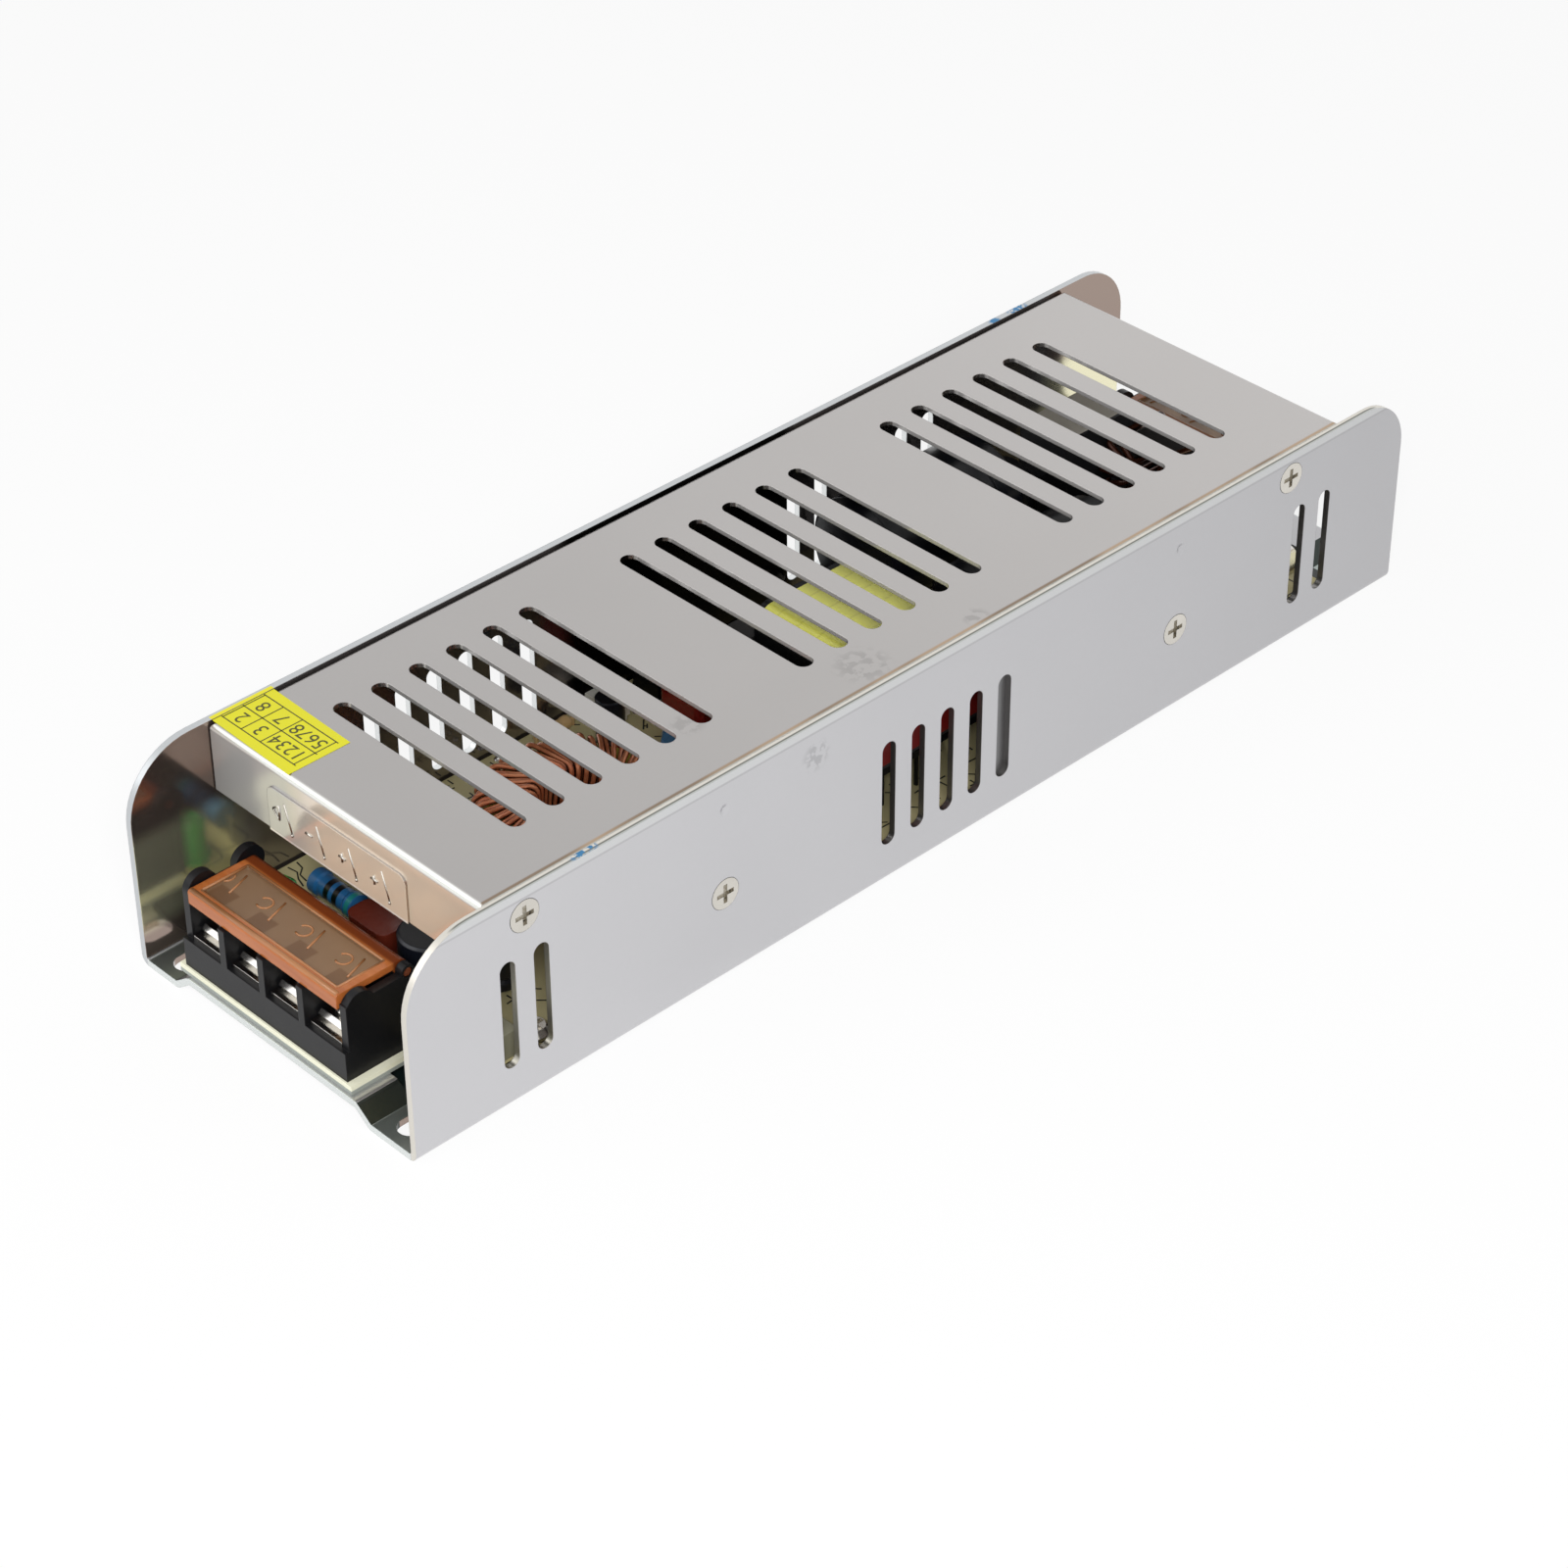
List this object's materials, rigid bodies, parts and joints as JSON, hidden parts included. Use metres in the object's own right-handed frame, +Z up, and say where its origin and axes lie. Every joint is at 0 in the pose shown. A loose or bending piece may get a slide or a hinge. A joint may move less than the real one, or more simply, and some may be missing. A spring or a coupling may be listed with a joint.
{
  "type": "switching power supply",
  "caption": "Long slim enclosed power supply: folded channel with slotted lid, circuit board inside, and a screw terminal block with a hinged amber cover at each end.",
  "frame": {"origin": "centre of the underside, on the surface that the base rests on", "axes": "+X along the length towards the mains input end, +Y across to the left wall seen from the output end, +Z up"},
  "size_m": [0.225, 0.067, 0.039],
  "materials": {
    "coated_sheet": "fine satin, warm light grey",
    "screw_steel": "bright plated",
    "plated_steel": "bright tin plate",
    "black_plastic": "moulded, slightly satin",
    "amber_plastic": "translucent amber",
    "board_laminate": "cream laminate",
    "insulation_film": "dark film",
    "green_lens": "tinted lens",
    "blue_plastic": "moulded",
    "white_plastic": "moulded",
    "capacitor_sleeve": "shrunk sleeve",
    "blue_coating": "dipped coating",
    "grey_coating": "dipped coating",
    "tan_coating": "dipped coating",
    "red_coating": "dipped coating",
    "black_coating": "dipped coating",
    "beige_plastic": "moulded case",
    "iron_powder_core": "painted core",
    "ferrite": "sintered",
    "enamelled_copper": "varnished copper",
    "yellow_tape": "polyester tape",
    "red_tape": "polyester tape",
    "heatsink_aluminium": "mill finish",
    "fuse_glass": "clear"
  },
  "bodies": {
    "root": {"ac_clamp_plates": "plated_steel", "ac_terminal_contacts": "plated_steel", "ac_terminal_housing": "black_plastic", "ac_terminal_screws": "screw_steel", "board_screws": "screw_steel", "bridge_rectifier": "black_plastic", "bulk_capacitors": "capacitor_sleeve", "chassis": "coated_sheet", "circuit_board": "board_laminate", "control_chip": "black_plastic", "cover": "coated_sheet", "cover_screws": "screw_steel", "dc_clamp_plates": "plated_steel", "dc_terminal_contacts": "plated_steel", "dc_terminal_housing": "black_plastic", "dc_terminal_screws": "screw_steel", "device_screws": "screw_steel", "drive_transformer_core": "ferrite", "drive_transformer_winding": "yellow_tape", "film_capacitors": "red_coating", "fuse_caps": "plated_steel", "fuse_clips": "plated_steel", "fuse_tube": "fuse_glass", "heatsink_screws": "screw_steel", "inrush_thermistor": "black_coating", "insulation_sheet": "insulation_film", "line_choke_base": "black_plastic", "line_choke_core": "ferrite", "line_choke_windings": "enamelled_copper", "load_resistor": "blue_coating", "optocouplers": "white_plastic", "output_capacitors": "capacitor_sleeve", "output_inductor_core": "iron_powder_core", "output_inductor_winding": "enamelled_copper", "output_rectifiers": "black_plastic", "power_led": "green_lens", "rectifier_heatsink": "heatsink_aluminium", "small_resistors": "tan_coating", "snubber_resistor": "grey_coating", "supply_capacitors": "capacitor_sleeve", "surge_varistor": "blue_coating", "switching_transistors": "black_plastic", "transformer_band": "red_tape", "transformer_bobbin": "black_plastic", "transformer_core": "ferrite", "transformer_winding": "yellow_tape", "transistor_heatsink": "heatsink_aluminium", "voltage_trimmer": "blue_plastic", "x_capacitor": "beige_plastic", "y_capacitors": "blue_coating"},
    "dc_cover": {"dc_terminal_cover": "amber_plastic"},
    "ac_cover": {"ac_terminal_cover": "amber_plastic"},
    "rotor": {"trimmer_rotor": "white_plastic"}
  },
  "joints": [
    {"name": "dc_cover_hinge", "type": "hinge", "parent": "root", "child": "dc_cover", "pos_m": [-0.0988, 0.003, 0.0192], "axis": [0, 1, 0], "range_deg": [0, 90]},
    {"name": "ac_cover_hinge", "type": "hinge", "parent": "root", "child": "ac_cover", "pos_m": [0.0988, 0.005, 0.0192], "axis": [0, -1, 0], "range_deg": [0, 90]},
    {"name": "trimmer_turn", "type": "hinge", "parent": "root", "child": "rotor", "pos_m": [-0.092, -0.026, 0.01], "axis": [0, 0, 1], "range_deg": [-135, 135]}
  ]
}
